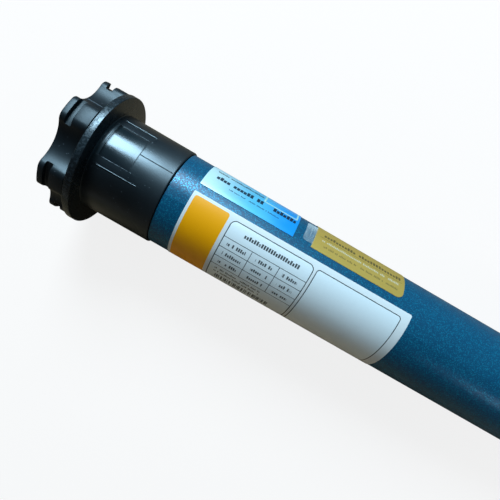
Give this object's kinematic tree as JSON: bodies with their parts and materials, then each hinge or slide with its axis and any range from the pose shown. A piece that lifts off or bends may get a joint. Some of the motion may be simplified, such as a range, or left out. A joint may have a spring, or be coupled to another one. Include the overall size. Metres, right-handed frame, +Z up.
{
  "type": "tubular roller blind motor",
  "caption": "Tubular motor for a roller blind: star head, free-turning crown with a tube-stop flange, long blue tube with labels, geared output shaft",
  "frame": {"origin": "on the motor axis, in the plane of the crown's flange face that stops the roller tube", "axes": "+X along the motor axis from the star head to the output shaft, +Z up, the side that faces the viewer of the picture"},
  "size_m": [0.6201, 0.063, 0.063],
  "materials": {
    "head_plastic": "moulded black plastic with a satin surface",
    "crown_plastic": "moulded black plastic, glossy on the pad and satin beyond it",
    "socket_plastic": "moulded black plastic",
    "zinc_steel": "zinc plated steel",
    "contact_brass": "bright contact metal",
    "grey_plastic": "moulded grey plastic",
    "natural_plastic": "moulded uncoloured plastic",
    "bright_steel": "ground steel",
    "magnet": "sintered magnet",
    "blue_paint": "blue metallic paint with fine flakes on steel",
    "silver_label": "printed film with a silver-white ground",
    "cyan_sticker": "printed film, pale cyan to blue",
    "gold_seal": "thin gold film",
    "circuit_board": "green coated circuit board",
    "relay_plastic": "moulded blue plastic",
    "terminal_plastic": "moulded green plastic",
    "winding": "varnished copper wire",
    "sleeve_plastic": "shrunk sleeve",
    "white_plastic": "moulded white plastic",
    "die_cast": "die-cast metal",
    "core_steel": "stacked core sheets",
    "lining": "pressed friction material",
    "gear_steel": "sintered steel, oiled",
    "bush_brass": "sintered bronze"
  },
  "bodies": {
    "motor_body": {"star_head": "head_plastic", "end_cover": "head_plastic", "cover_screws": "zinc_steel", "cable_socket": "socket_plastic", "socket_pins": "contact_brass", "encoder_bracket": "grey_plastic", "encoder_axle": "bright_steel", "motor_tube": "blue_paint", "head_rivets": "zinc_steel", "output_rivets": "zinc_steel", "rating_label": "silver_label", "info_sticker": "cyan_sticker", "seal_sticker": "gold_seal", "board_carrier": "natural_plastic", "control_board": "circuit_board", "relays": "relay_plastic", "terminal_block": "terminal_plastic", "line_filter": "winding", "smoothing_capacitor": "sleeve_plastic", "run_capacitor": "white_plastic", "capacitor_clamps": "grey_plastic", "front_shield": "die_cast", "rear_shield": "die_cast", "rotor_bearings": "bright_steel", "stator_core": "core_steel", "stator_winding": "winding", "brake_housing": "die_cast", "brake_lining": "lining", "gearbox_cover": "die_cast", "ring_gear": "gear_steel", "output_cover": "head_plastic", "output_bush": "bush_brass"},
    "crown": {"crown": "crown_plastic"},
    "turn_counter": {"encoder_pinion": "natural_plastic", "encoder_magnet": "magnet"},
    "rotor": {"rotor_core": "core_steel", "rotor_rings": "die_cast", "rotor_shaft": "bright_steel", "sun_gear": "gear_steel", "spring_collar": "bright_steel", "brake_spring": "bright_steel"},
    "brake_disc": {"brake_disc": "core_steel"},
    "carrier_1": {"carrier_1": "gear_steel", "planet_pins_1": "bright_steel"},
    "carrier_2": {"carrier_2": "gear_steel", "planet_pins_2": "bright_steel"},
    "output": {"carrier_3": "gear_steel", "planet_pins_3": "bright_steel", "output_shaft": "bright_steel"},
    "planet_1a": {"planet_1a": "natural_plastic"},
    "planet_1b": {"planet_1b": "natural_plastic"},
    "planet_1c": {"planet_1c": "natural_plastic"},
    "planet_2a": {"planet_2a": "gear_steel"},
    "planet_2b": {"planet_2b": "gear_steel"},
    "planet_2c": {"planet_2c": "gear_steel"},
    "planet_3a": {"planet_3a": "gear_steel"},
    "planet_3b": {"planet_3b": "gear_steel"},
    "planet_3c": {"planet_3c": "gear_steel"}
  },
  "joints": [
    {"name": "crown_spin", "type": "hinge", "parent": "motor_body", "child": "crown", "pos_m": [0.01, 0, 0], "axis": [1, 0, 0], "continuous": true},
    {"name": "counter_spin", "type": "hinge", "parent": "motor_body", "child": "turn_counter", "pos_m": [0.023, 0, -0.017], "axis": [1, 0, 0], "continuous": true},
    {"name": "output_spin", "type": "hinge", "parent": "motor_body", "child": "output", "pos_m": [0.56, 0, 0], "axis": [1, 0, 0], "continuous": true},
    {"name": "carrier_2_spin", "type": "hinge", "parent": "motor_body", "child": "carrier_2", "pos_m": [0.49185, 0, 0], "axis": [1, 0, 0], "continuous": true},
    {"name": "carrier_1_spin", "type": "hinge", "parent": "motor_body", "child": "carrier_1", "pos_m": [0.47625, 0, 0], "axis": [1, 0, 0], "continuous": true},
    {"name": "rotor_spin", "type": "hinge", "parent": "motor_body", "child": "rotor", "pos_m": [0.4, 0, 0], "axis": [1, 0, 0], "continuous": true},
    {"name": "planet_1a_spin", "type": "hinge", "parent": "carrier_1", "child": "planet_1a", "pos_m": [0.47625, 0, 0.0108], "axis": [1, 0, 0], "continuous": true},
    {"name": "planet_1b_spin", "type": "hinge", "parent": "carrier_1", "child": "planet_1b", "pos_m": [0.47625, -0.00935, -0.0054], "axis": [1, 0, 0], "continuous": true},
    {"name": "planet_1c_spin", "type": "hinge", "parent": "carrier_1", "child": "planet_1c", "pos_m": [0.47625, 0.00935, -0.0054], "axis": [1, 0, 0], "continuous": true},
    {"name": "planet_2a_spin", "type": "hinge", "parent": "carrier_2", "child": "planet_2a", "pos_m": [0.49185, 0, 0.0108], "axis": [1, 0, 0], "continuous": true},
    {"name": "planet_2b_spin", "type": "hinge", "parent": "carrier_2", "child": "planet_2b", "pos_m": [0.49185, -0.00935, -0.0054], "axis": [1, 0, 0], "continuous": true},
    {"name": "planet_2c_spin", "type": "hinge", "parent": "carrier_2", "child": "planet_2c", "pos_m": [0.49185, 0.00935, -0.0054], "axis": [1, 0, 0], "continuous": true},
    {"name": "planet_3a_spin", "type": "hinge", "parent": "output", "child": "planet_3a", "pos_m": [0.51145, 0, 0.01152], "axis": [1, 0, 0], "continuous": true},
    {"name": "planet_3b_spin", "type": "hinge", "parent": "output", "child": "planet_3b", "pos_m": [0.51145, -0.00998, -0.00576], "axis": [1, 0, 0], "continuous": true},
    {"name": "planet_3c_spin", "type": "hinge", "parent": "output", "child": "planet_3c", "pos_m": [0.51145, 0.00998, -0.00576], "axis": [1, 0, 0], "continuous": true},
    {"name": "brake_slide", "type": "slide", "parent": "rotor", "child": "brake_disc", "axis": [1, 0, 0], "range_m": [0, 0.0006], "deforming": ["brake_spring"]}
  ],
  "couplings": [
    {"joint": "counter_spin", "follows": "crown_spin", "ratio": 4.4},
    {"joint": "carrier_2_spin", "follows": "output_spin", "ratio": 4.5714},
    {"joint": "carrier_1_spin", "follows": "output_spin", "ratio": 27.429},
    {"joint": "rotor_spin", "follows": "output_spin", "ratio": 164.57},
    {"joint": "planet_1a_spin", "follows": "output_spin", "ratio": -68.571},
    {"joint": "planet_1b_spin", "follows": "output_spin", "ratio": -68.571},
    {"joint": "planet_1c_spin", "follows": "output_spin", "ratio": -68.571},
    {"joint": "planet_2a_spin", "follows": "output_spin", "ratio": -11.429},
    {"joint": "planet_2b_spin", "follows": "output_spin", "ratio": -11.429},
    {"joint": "planet_2c_spin", "follows": "output_spin", "ratio": -11.429},
    {"joint": "planet_3a_spin", "follows": "output_spin", "ratio": -2.7778},
    {"joint": "planet_3b_spin", "follows": "output_spin", "ratio": -2.7778},
    {"joint": "planet_3c_spin", "follows": "output_spin", "ratio": -2.7778}
  ]
}
